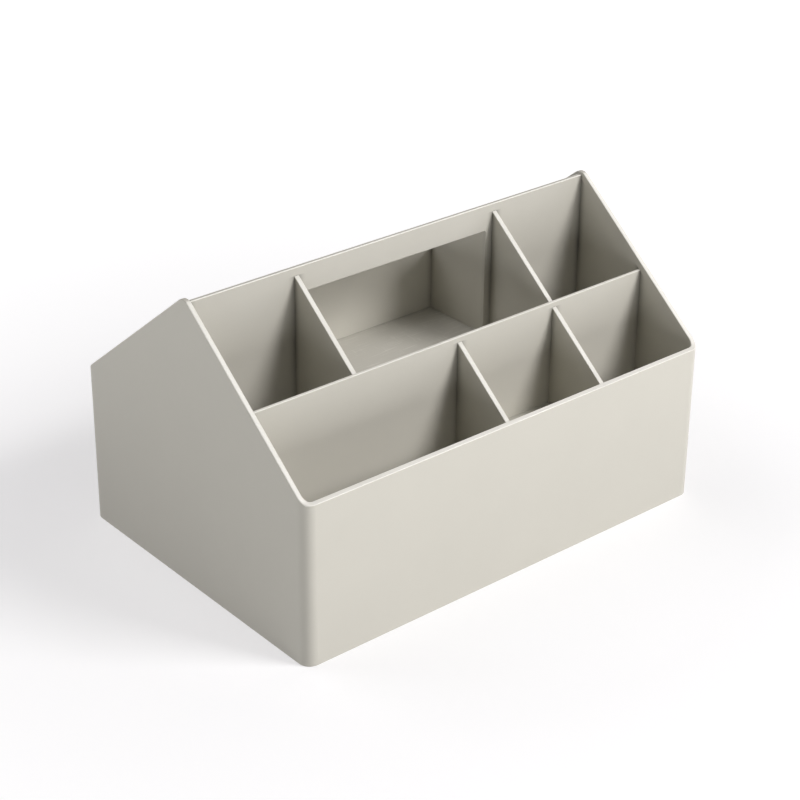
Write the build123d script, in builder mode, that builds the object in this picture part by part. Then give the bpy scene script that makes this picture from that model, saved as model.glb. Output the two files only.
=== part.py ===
from build123d import *
import os

# A house-shaped storage caddy in one colour. Two gable ends and two low long walls make an open
# box, a wall under the ridge ends in a carrying bar, and thinner walls part the inside into bays.
# Millimetres. X runs along the ridge, Y from the front row to the rear row, Z up from the table.

os.makedirs("parts", exist_ok=True)

# Outside of the box.
length = 266.0
width = 187.0
eave_height = 89.5
roof_peak = 163.0  # where the two roof lines of a gable would cross before they are rounded
roof_start = 2.0  # the roof line begins this far inside the long wall's outer face
wall = 2.7
corner_radius = 6.5
peak_radius = 6.0
eave_radius = 6.0
rim_radius = 0.5

# Floors.
floor_thickness = 3.0
raised_floor_top = 81.6
row_floor_top = 60.8
raised_floor_thickness = 2.4

# Wall under the ridge, with the hand hole below its carrying bar.
ridge_wall_top = 159.8
ridge_wall_thickness = 2.2
bar_height = 14.6
hand_hole_length = 120.0
hand_hole_radius = 1.0

# The two long dividers, which stand either side of the ridge wall.
divider_thickness = 1.7
divider_centre = 48.4
divider_drop = 5.2  # the tops of the dividers lie this far below the roof lines

# Cross partitions.
partition_thickness = 2.8
partition_drop = 7.0  # the tops of the partitions lie lower still
ridge_partition_x = 66.0
row_partition_middle_x = 0.0
row_partition_right_x = 66.0
edge_radius = 0.4

# Values worked out from the ones above.
inner_length = length - 2 * wall
inner_width = width - 2 * wall
roof_foot = width / 2 - roof_start
roof_slope = (roof_peak - eave_height) / roof_foot
divider_near_ridge = divider_centre - divider_thickness / 2
divider_far_side = divider_centre + divider_thickness / 2
partition_inner_x = ridge_partition_x - partition_thickness / 2
row_bay_left = row_partition_middle_x + partition_thickness / 2
row_bay_right = row_partition_right_x - partition_thickness / 2
row_bay_length = row_bay_right - row_bay_left
row_bay_depth = inner_width / 2 - divider_far_side
row_bay_centre = ((row_bay_left + row_bay_right) / 2, -divider_far_side - row_bay_depth / 2)


def roof_at(distance):
    """Height of the sharp roof line at a distance from the ridge."""
    return roof_peak - roof_slope * distance


divider_top = roof_at(divider_near_ridge) - divider_drop


def in_rim(edge):
    """True on the inner and outer outline of the rim, false on the seams that cross the rim."""
    middle = edge @ 0.5
    if middle.Z < eave_height - rim_radius:
        return False
    beside_gable = abs(middle.X) > inner_length / 2 - corner_radius
    on_gable = min(abs(abs(middle.X) - length / 2), abs(abs(middle.X) - inner_length / 2)) < 0.01
    on_long_wall = min(abs(abs(middle.Y) - width / 2), abs(abs(middle.Y) - inner_width / 2)) < 0.01
    in_corner = beside_gable and abs(middle.Y) > inner_width / 2 - corner_radius
    crosses_rim = edge.geom_type == GeomType.LINE and not on_gable and not on_long_wall
    return (on_gable or on_long_wall or in_corner) and not crosses_rim


# Outer shell: a tub with rounded upright corners, cut to the outline of a house. The wall is the
# same thickness all the way round, and its top edge is eased inside and out.
with BuildPart() as outer_shell:
    with BuildSketch(Plane.XY):
        Rectangle(length, width)
        fillet(vertices(), corner_radius)
    extrude(amount=roof_peak)
    with BuildSketch(Plane.XY):
        Rectangle(inner_length, inner_width)
        fillet(vertices(), corner_radius - wall)
    extrude(amount=roof_peak, mode=Mode.SUBTRACT)
    with BuildSketch(Plane.YZ):
        with BuildLine():
            Polyline(
                (-width, 0),
                (-width, eave_height),
                (-roof_foot, eave_height),
                (0, roof_peak),
                (roof_foot, eave_height),
                (width, eave_height),
                (width, 0),
                close=True,
            )
        make_face()
        fillet(vertices().sort_by(Axis.Y)[-1], peak_radius)
        fillet(vertices().filter_by(lambda v: abs(abs(v.X) - roof_foot) < 0.01), eave_radius)
    extrude(amount=length, both=True, mode=Mode.INTERSECT)
    fillet(edges().filter_by(in_rim), rim_radius)
outer_shell.part.label = "outer_shell"
export_step(outer_shell.part, "parts/outer_shell.step")

# Base floor: fills the bottom of the tub round two pockets, one under each raised floor. They are
# open underneath, because a moulded tub can't close a hollow below a raised floor.
with BuildPart() as base_floor:
    with BuildSketch(Plane.XY):
        Rectangle(inner_length, inner_width)
        fillet(vertices(), corner_radius - wall)
        Rectangle(2 * partition_inner_x, 2 * divider_near_ridge, mode=Mode.SUBTRACT)
        with Locations(row_bay_centre):
            Rectangle(row_bay_length, row_bay_depth, mode=Mode.SUBTRACT)
    extrude(amount=floor_thickness)
base_floor.part.label = "base_floor"
export_step(base_floor.part, "parts/base_floor.step")

# Raised floor of the middle bay, level under the carrying bar from divider to divider.
with BuildPart() as raised_floor:
    with BuildSketch(Plane.XY.offset(raised_floor_top)):
        Rectangle(2 * partition_inner_x, 2 * divider_near_ridge)
    extrude(amount=-raised_floor_thickness)
raised_floor.part.label = "raised_floor"
export_step(raised_floor.part, "parts/raised_floor.step")

# Raised floor of the front row's middle bay, which makes it a shallow tray for small things.
with BuildPart() as row_raised_floor:
    with BuildSketch(Plane.XY.offset(row_floor_top)):
        with Locations(row_bay_centre):
            Rectangle(row_bay_length, row_bay_depth)
    extrude(amount=-raised_floor_thickness)
row_raised_floor.part.label = "row_raised_floor"
export_step(row_raised_floor.part, "parts/row_raised_floor.step")

# Ridge wall: runs from gable to gable under the ridge. Above the raised floor it has the hand hole,
# whose upper side is the carrying bar, and below the raised floor it stops at the partitions.
with BuildPart() as ridge_wall:
    with BuildSketch(Plane.XZ):
        with Locations((0, (floor_thickness + ridge_wall_top) / 2)):
            Rectangle(inner_length, ridge_wall_top - floor_thickness)
        with Locations((0, (floor_thickness + raised_floor_top) / 2)):
            Rectangle(2 * partition_inner_x, raised_floor_top - floor_thickness, mode=Mode.SUBTRACT)
    extrude(amount=ridge_wall_thickness / 2, both=True)
    fillet(edges().filter_by(Axis.X).group_by(Axis.Z)[-1], edge_radius)
    hand_hole_height = ridge_wall_top - bar_height - raised_floor_top
    with BuildSketch(Plane.XZ):
        with Locations((0, raised_floor_top + hand_hole_height / 2)):
            Rectangle(hand_hole_length, hand_hole_height)
        fillet(vertices().group_by(Axis.Y)[-1], hand_hole_radius)
    extrude(amount=ridge_wall_thickness, both=True, mode=Mode.SUBTRACT)
    bar_underside = faces().filter_by(Axis.Z).sort_by(Axis.Z)[-2]
    fillet(bar_underside.edges().filter_by(Axis.X), edge_radius)
ridge_wall.part.label = "ridge_wall"
export_step(ridge_wall.part, "parts/ridge_wall.step")

# Long dividers: one on each side of the ridge wall, level along the top, from gable to gable.
for name, side in (("front_divider", -1), ("rear_divider", 1)):
    with BuildPart() as divider:
        with BuildSketch(Plane.XY.offset(floor_thickness)):
            with Locations((0, side * divider_centre)):
                Rectangle(inner_length, divider_thickness)
        extrude(amount=divider_top - floor_thickness)
        fillet(edges().filter_by(Axis.X).group_by(Axis.Z)[-1], edge_radius)
    divider.part.label = name
    export_step(divider.part, f"parts/{name}.step")


def make_partition(name, x, near, far, side):
    """Cross partition at one x, from one distance off the ridge to another, on one side of it."""
    with BuildPart() as partition:
        with BuildSketch(Plane.YZ.offset(x - partition_thickness / 2)):
            with BuildLine():
                Polyline(
                    (side * near, floor_thickness),
                    (side * near, roof_at(near) - partition_drop),
                    (side * far, roof_at(far) - partition_drop),
                    (side * far, floor_thickness),
                    close=True,
                )
            make_face()
        extrude(amount=partition_thickness)
        sloping_top = faces().sort_by(Axis.Z)[-1]
        fillet(sloping_top.edges().filter_by(Axis.X, reverse=True), edge_radius)
    partition.part.label = name
    export_step(partition.part, f"parts/{name}.step")


# Ridge-row partitions: four upright walls between the ridge wall and the dividers. Together they
# close the two ends of the middle bay. Their tops slope with the roof, a little below it.
make_partition(
    "ridge_partition_front_left", -ridge_partition_x, ridge_wall_thickness / 2, divider_near_ridge, -1
)
make_partition(
    "ridge_partition_front_right", ridge_partition_x, ridge_wall_thickness / 2, divider_near_ridge, -1
)
make_partition(
    "ridge_partition_rear_left", -ridge_partition_x, ridge_wall_thickness / 2, divider_near_ridge, 1
)
make_partition(
    "ridge_partition_rear_right", ridge_partition_x, ridge_wall_thickness / 2, divider_near_ridge, 1
)

# Front-row partitions: two upright walls between the front divider and the front wall.
make_partition("row_partition_middle", row_partition_middle_x, divider_far_side, inner_width / 2, -1)
make_partition("row_partition_right", row_partition_right_x, divider_far_side, inner_width / 2, -1)
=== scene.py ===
import math

import bpy
from mathutils import Matrix, Vector


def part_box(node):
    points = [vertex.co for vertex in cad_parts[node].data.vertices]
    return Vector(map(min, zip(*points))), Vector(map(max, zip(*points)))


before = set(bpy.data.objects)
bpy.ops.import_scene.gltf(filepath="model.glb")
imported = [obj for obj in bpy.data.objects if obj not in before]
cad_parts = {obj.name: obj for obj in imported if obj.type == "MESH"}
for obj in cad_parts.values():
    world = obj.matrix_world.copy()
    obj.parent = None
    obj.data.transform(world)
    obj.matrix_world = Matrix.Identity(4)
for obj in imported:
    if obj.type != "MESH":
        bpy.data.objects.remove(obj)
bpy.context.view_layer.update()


# Outer shell
# A tub with two gable ends, injection moulded in warm grey ABS together with all the walls inside
# it. The mould is spark eroded, which leaves an even satin grain. The rim comes out a little
# smoother where it is eased by hand along the parting line, and it is painted paler as a highlight.

warm_grey = (0.60, 0.582, 0.512)
# painted highlight on rims and top edges, and the colour of pale floor scuffs
highlight_and_scuff_grey = (0.89, 0.873, 0.80)
# painted shade in the inside corners
corner_shade_grey = (0.10, 0.096, 0.078)
mottling = 0.028  # how far the grey strays to either side of its mean

eave_height = 0.0895
ridge_height = 0.163
roof_slope = 0.8033  # how far the roof line falls for each metre away from the ridge
rim_ease = 0.0004  # how far down an eased edge reaches
divider_drop = 0.005  # how far the tops of the dividers lie below the roof line
partition_drop = 0.007  # and those of the cross partitions

grain_depth = 0.000012
sink_depth = 0.00012  # the walls are dished by this much, where the plastic shrank as it set

corner_shade_width = 0.0045  # painted shade reaches this close to an inside corner
faint_height = 0.07  # it is faint up to this height
full_height = 0.12  # and at its darkest above this one
off_face = 4  # it fades this many times faster away from the face that it lies on
past_end = 8  # and past the end or the top of the wall that makes the corner


class Value:
    """A number that changes over a surface. Sums written with it become Math nodes."""

    def __init__(self, finish, socket):
        self.finish = finish
        self.socket = socket

    def maths(self, operation, *terms, clamp=False):
        settings = {"operation": operation, "use_clamp": clamp}
        return self.finish.add("Math", settings, dict(enumerate(terms)))

    def __add__(self, other):
        return self.maths("ADD", self, other)

    def __sub__(self, other):
        return self.maths("SUBTRACT", self, other)

    def __rsub__(self, other):
        return self.maths("SUBTRACT", other, self)

    def __mul__(self, other):
        return self.maths("MULTIPLY", self, other)

    def __truediv__(self, other):
        return self.maths("DIVIDE", self, other)

    def __abs__(self):
        return self.maths("ABSOLUTE", self)

    __radd__ = __add__
    __rmul__ = __mul__

    def at_least(self, other):
        return self.maths("MAXIMUM", self, other)

    def at_most(self, other):
        return self.maths("MINIMUM", self, other)

    def clipped(self):
        return self.maths("ADD", self, 0.0, clamp=True)


class Finish:
    """The nodes of a material, or of the studio's surroundings, which are added one by one."""

    def __init__(self, owner):
        self.owner = owner
        owner.use_nodes = True
        self.tree = owner.node_tree
        self.tree.nodes.clear()

    def add(self, kind, settings=None, sockets=None, output=0):
        """Adds a node of a kind, sets its settings, then its sockets, and returns one output."""
        node = self.tree.nodes.new("ShaderNode" + kind)
        for name, setting in (settings or {}).items():
            setattr(node, name, setting)
        for name, source in (sockets or {}).items():
            if isinstance(source, Value):
                self.tree.links.new(source.socket, node.inputs[name])
            else:
                node.inputs[name].default_value = source
        return Value(self, node.outputs[output]) if node.outputs else None

    def noise(self, place, scale, detail, roughness=0.5):
        sockets = {"Vector": place, "Scale": scale, "Detail": detail, "Roughness": roughness}
        return self.add("TexNoise", sockets=sockets)

    def blend(self, share, first, second):
        """A colour between two others. A share of 0 gives the first and 1 gives the second."""
        return self.add("Mix", {"data_type": "RGBA"}, {0: share, 6: first, 7: second}, output=2)


def tint(colour, strength=1.0):
    """A colour at a strength, as a colour socket takes it."""
    return tuple(strength * part for part in colour) + (1,)


def moulded_plastic(name, highlight_and_wear_at, joint_at, satin=0.47, shade=1.0):
    """Warm grey moulded ABS. highlight_and_wear_at turns a place's x, y and z into 1 where an edge is
    smoother and painted paler as a highlight, or where a floor is scuffed, and joint_at gives how far
    the place is from the nearest inside corner, where shade is painted. Satin is the roughness, and a
    shade below
    1 makes the grey darker, as painted shade."""
    finish = Finish(bpy.data.materials.new(name))
    place = finish.add("TexCoord", output="Object")
    x, y, z = (finish.add("SeparateXYZ", sockets={0: place}, output=axis) for axis in range(3))
    grain = finish.noise(place, scale=2600, detail=2, roughness=0.6)
    pebble = finish.noise(place, scale=520, detail=1.5)
    cloud = finish.noise(place, scale=34, detail=3, roughness=0.55)
    sink = finish.noise(place, scale=15, detail=0)

    mottle = (0.5 + 0.9 * (cloud - 0.5) + 0.5 * (grain - 0.5)).clipped()
    darker = tint(warm_grey, shade * (1 - mottling))
    lighter = tint(warm_grey, shade * (1 + mottling))
    # painted highlight: rims and top edges are blended towards a paler grey, as are floor scuffs, and
    # all of them are smoother
    highlight_and_wear = highlight_and_wear_at(x, y, z).clipped() * (0.65 + 0.6 * cloud)
    colour = finish.blend(highlight_and_wear.clipped(), finish.blend(mottle, darker, lighter), tint(highlight_and_scuff_grey))

    # painted shade: the grey darkens close to the inside corners, more so high up
    corner = (1 - joint_at(x, y, z) / corner_shade_width).clipped()
    high_up = ((z - faint_height) / (full_height - faint_height)).clipped()
    corner_shade = corner * corner * (0.35 + 0.65 * high_up) * (0.45 + 0.3 * cloud) * (1 - highlight_and_wear.clipped())
    colour = finish.blend(corner_shade, colour, tint(corner_shade_grey))

    roughness = satin + 0.10 * (cloud - 0.5) + 0.08 * (pebble - 0.5) - 0.10 * highlight_and_wear
    relief = {"Height": grain * 0.45 + pebble * 0.55, "Distance": grain_depth, "Strength": 1.0}
    dishing = {"Height": sink, "Distance": sink_depth, "Strength": 1.0}
    dishing["Normal"] = finish.add("Bump", sockets=relief)
    normal = finish.add("Bump", sockets=dishing)
    sockets = {"Base Color": colour, "Roughness": roughness, "Normal": normal, "IOR": 1.52}
    surface = finish.add("BsdfPrincipled", sockets=sockets)
    finish.add("OutputMaterial", sockets={"Surface": surface})
    return finish.owner


def paint(node, material):
    """Gives a CAD node's every slot this material."""
    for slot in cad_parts[node].material_slots:
        slot.material = material


def eased_edge(below_top, reach=1.5):
    """1 or more on the eased edge at the top of a wall, and 0 or less lower down. Reach says how
    many times rim_ease below the top it gets to 0."""
    return reach - below_top / rim_ease


def shell_rim(x, y, z):
    rim = (ridge_height - roof_slope * abs(y)).at_least(eave_height)
    return eased_edge(rim - z)


ridge_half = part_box("ridge_wall")[1].y
gable_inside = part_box("ridge_wall")[1].x
divider_near = -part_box("front_divider")[1].y
divider_far = -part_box("front_divider")[0].y
partition_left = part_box("row_partition_right")[0].x
partition_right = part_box("row_partition_right")[1].x
row_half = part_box("row_partition_middle")[1].x
wall_inside = -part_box("row_partition_right")[0].y


def from_slab(place, near, far):
    """How far a place is from a wall that stands between two places on the same axis."""
    return (near - place).at_least(place - far)


def across_bays(y):
    """How far a place on a gable or a cross wall is from the nearest long wall."""
    return (abs(y) - ridge_half).at_most(from_slab(abs(y), divider_near, divider_far))


def above_tops(y, z, drop):
    """Grows from 0 above the tops of walls that end this far below the roof line."""
    return (z - ridge_height + drop + roof_slope * abs(y)).at_least(0) * past_end


def shell_joint(x, y, z):
    """The corners of the long walls with the gables, and of the front row's partitions with the
    front wall."""
    on_gable = across_bays(y) + abs(abs(x) - gable_inside) * off_face + above_tops(y, z, divider_drop)
    on_front = from_slab(x, partition_left, partition_right).at_most(abs(x) - row_half)
    on_front = on_front + abs(y + wall_inside) * off_face + above_tops(y, z, partition_drop)
    return on_gable.at_most(on_front)


paint("outer_shell", moulded_plastic("shell_plastic", shell_rim, shell_joint))


# Floors
# The bottom of the tub, the raised floor of the middle bay and that of the shallow tray in the
# front row. They are moulded with the shell, and things slide about on them, so they are a little
# more polished than the walls and carry pale scuffs. Their grey is painted a little darker, as shade.

floor_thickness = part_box("base_floor")[1].z
floor_skin = 0.0005  # the painted corner shade reaches no further than this below the top of the bottom floor
scuff_levels = 70  # floors at different heights have scuffs of their own


def scuffs(x, y, z, per_x, per_y, rarity, contrast):
    """Fine marks, about as many to a metre each way as per_x and per_y say. A higher rarity leaves
    fewer of them."""
    sockets = {"X": x * per_x, "Y": y * per_y, "Z": z * scuff_levels}
    stretched = x.finish.add("CombineXYZ", sockets=sockets)
    return ((x.finish.noise(stretched, scale=1, detail=3) - rarity) * contrast).clipped()


def worn_floor(x, y, z):
    """Scuffs from the feet of things that are stood in and pulled out, mostly along the bays."""
    lengthwise = scuffs(x, y, z, per_x=70, per_y=1100, rarity=0.56, contrast=3)
    crosswise = scuffs(x, y, z, per_x=900, per_y=120, rarity=0.62, contrast=4)
    return lengthwise * 0.5 + crosswise * 0.4


def floor_joint(x, y, z):
    """The corners that a floor makes with the partitions and the dividers."""
    beside = from_slab(abs(x), partition_left, partition_right)
    beside = beside + (abs(y) - divider_near).at_least(0) * past_end
    underneath = (floor_thickness - floor_skin - z).at_least(0) * past_end
    return beside.at_most(from_slab(abs(y), divider_near, divider_far)) + underneath


# The floors' grey is painted darker, as shade.
floor_plastic = moulded_plastic("floor_plastic", worn_floor, floor_joint, satin=0.43, shade=0.93)
for node in ("base_floor", "raised_floor", "row_raised_floor"):
    paint(node, floor_plastic)


# Ridge wall
# The wall under the ridge, moulded with the rest, with a hand hole through it. What stays above
# the hole is the bar that the caddy is carried by. Hands keep its edges smooth, and its top edges
# and the middle of its underside are painted paler, as highlights. The whole wall is painted a
# little darker, as shade.

wall_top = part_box("ridge_wall")[1].z
bar_underside = 0.1452
bar_half_length = 0.060
grip_fade = 0.012  # the paler, smoother band under the bar fades over this length at either end
grip_rise = 0.004  # and over this height at its underside
level_half = 0.0003  # the top isn't painted paler this far to either side of its middle
# how much paler the bar's underside and its top edges are painted, as highlights
grip_highlight = 0.05
bar_top_highlight = 0.85


# Paler where highlights are painted on the bar's top edges and underside; the underside is also
# smoother.
def bar_highlight_and_grip(x, y, z):
    along = (bar_half_length - abs(x)) / grip_fade
    up = (z - bar_underside + grip_rise / 2) / grip_rise
    top = eased_edge(wall_top - z, reach=1.6).clipped()
    edge = ((abs(y) - level_half) / level_half).clipped()
    return along.clipped() * up.clipped() * grip_highlight + top * edge * bar_top_highlight


def ridge_joint(x, y, z):
    """The corners that the ridge wall makes with the partitions and the gables."""
    beside = from_slab(abs(x), partition_left, partition_right) + above_tops(y, z, partition_drop)
    return beside.at_most(gable_inside - abs(x))


# The ridge wall's grey is painted darker, as shade.
paint("ridge_wall", moulded_plastic("ridge_plastic", bar_highlight_and_grip, ridge_joint, shade=0.93))


# Long dividers
# Two straight walls on either side of the ridge wall, moulded from gable to gable. Their top edges
# are level and eased, and lie a little below the roof line.

divider_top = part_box("front_divider")[1].z
divider_highlight = 0.7


# The eased top edge, painted paler as a highlight.
def divider_edge(x, y, z):
    return eased_edge(divider_top - z).at_most(divider_highlight)


def divider_joint(x, y, z):
    """The corners that a divider makes with the partitions on both sides and with the gables."""
    ridge_side = from_slab(abs(x), partition_left, partition_right)
    ridge_side = ridge_side + (abs(y) - divider_near).at_least(0) * off_face
    row_side = from_slab(x, partition_left, partition_right).at_most(abs(x) - row_half)
    row_side = row_side + (y + divider_far).at_least(0) * off_face
    beside = ridge_side.at_most(row_side) + above_tops(y, z, partition_drop)
    return beside.at_most(gable_inside - abs(x))


divider_plastic = moulded_plastic("divider_plastic", divider_edge, divider_joint)
for node in ("front_divider", "rear_divider"):
    paint(node, divider_plastic)


# Cross partitions
# Six thin upright walls across the rows, four between the ridge wall and the dividers and two in
# the front row, moulded with the rest. Their top edges slope with the roof, about 7 mm below it.

partition_highlight = 0.85


# The eased top edge, painted paler as a highlight.
def partition_edge(x, y, z):
    top = ridge_height - partition_drop - roof_slope * abs(y)
    return eased_edge(top - z).at_most(partition_highlight)


def partition_joint(x, y, z):
    """The corners that a partition makes with the long walls and with the front wall."""
    return across_bays(y).at_most(wall_inside - abs(y))


partition_plastic = moulded_plastic("partition_plastic", partition_edge, partition_joint)
for node in sorted(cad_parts):
    if "partition" in node:
        paint(node, partition_plastic)


# Table and light
# A plain white table under four square softboxes: a strong one in front on the right, and weak
# ones straight in front and, twice, behind on the left. The table glows a little, as a white
# table lit from all round does, and more so further out.

lamp_colour = (1.0, 0.983, 1.0)
lamp_distance = 2.4
lamp_target = Vector((0, 0, 0.08))

table_size = 16
table_height = -0.0002  # a hair below the caddy, so that the two faces don't coincide
table_white = (0.5, 0.508, 0.5)
near_glow = tint(lamp_colour, 0.54)
far_glow = tint((1, 1, 1), 1.1)
glow_start = 0.2  # the far glow sets in this far from the middle of the caddy
glow_spread = 0.9

bpy.ops.mesh.primitive_plane_add(size=table_size, location=(0, 0, table_height))
table = bpy.context.object
table.name = "studio_table"
white = Finish(bpy.data.materials.new("table_white"))
spot = white.add("TexCoord", output="Object")
reach = white.add("VectorMath", {"operation": "LENGTH"}, {0: spot}, output="Value")
glow = white.blend(((reach - glow_start) / glow_spread).clipped(), near_glow, far_glow)
sockets = {"Base Color": tint(table_white), "Roughness": 0.8}
sockets.update({"Emission Color": glow, "Emission Strength": 1.0})
cover = white.add("BsdfPrincipled", sockets=sockets)
white.add("OutputMaterial", sockets={"Surface": cover})
table.data.materials.append(white.owner)


def softbox(name, azimuth, elevation, size, power):
    """A square lamp that looks at the caddy from a direction, azimuth 0 in front and 90 right."""
    around, up = math.radians(azimuth), math.radians(elevation)
    away = Vector((math.sin(around) * math.cos(up), -math.cos(around) * math.cos(up), math.sin(up)))
    lamp = bpy.data.lights.new(name, "AREA")
    lamp.size = size
    lamp.energy = power
    lamp.color = lamp_colour
    holder = bpy.data.objects.new(name, lamp)
    bpy.context.scene.collection.objects.link(holder)
    holder.location = lamp_target + away * lamp_distance
    holder.rotation_euler = away.to_track_quat("Z", "Y").to_euler()


softbox("key_light", azimuth=33, elevation=37, size=0.9, power=47.5)
softbox("front_light", azimuth=0, elevation=50, size=1.5, power=6.8)
softbox("back_light", azimuth=-150, elevation=60, size=1.5, power=12.2)
softbox("rear_left_light", azimuth=-150, elevation=35, size=1.5, power=9.2)

# The surroundings look white and cast no light of their own.
studio = Finish(bpy.data.worlds.new("studio"))
seen = studio.add("LightPath", output="Is Camera Ray")
dark = studio.add("Background", sockets={"Color": (1, 1, 1, 1), "Strength": 0.0})
bright = studio.add("Background", sockets={"Color": (1, 1, 1, 1), "Strength": 1.0})
backdrop = studio.add("MixShader", sockets={0: seen, 1: dark, 2: bright})
studio.add("OutputWorld", sockets={"Surface": backdrop})
bpy.context.scene.world = studio.owner
bpy.context.scene.view_settings.view_transform = "Standard"


# Camera
# A long lens stands in front on the left and looks down on the front and the left gable. Its
# small shift sets the caddy in the frame.

camera_azimuth = math.radians(40.127)
camera_height = math.radians(26.528)
camera_roll = math.radians(0.491)
camera_distance = 1.0868
camera_target = Vector((0.0001, 0, 0.0929))

sine, cosine = math.sin(camera_azimuth), math.cos(camera_azimuth)
flat = math.cos(camera_height)
back = Vector((-sine * flat, -cosine * flat, math.sin(camera_height)))
level = Vector((cosine, -sine, 0))
upright = back.cross(level)
across = level * math.cos(camera_roll) + upright * math.sin(camera_roll)
above = upright * math.cos(camera_roll) - level * math.sin(camera_roll)
lens = bpy.data.cameras.new("photo_camera")
lens.lens = 92.94
lens.shift_x = 0.0038
lens.shift_y = -0.0625
camera = bpy.data.objects.new("photo_camera", lens)
bpy.context.scene.collection.objects.link(camera)
eye = camera_target + back * camera_distance
camera.matrix_world = Matrix.Translation(eye) @ Matrix((across, above, back)).transposed().to_4x4()
bpy.context.scene.camera = camera
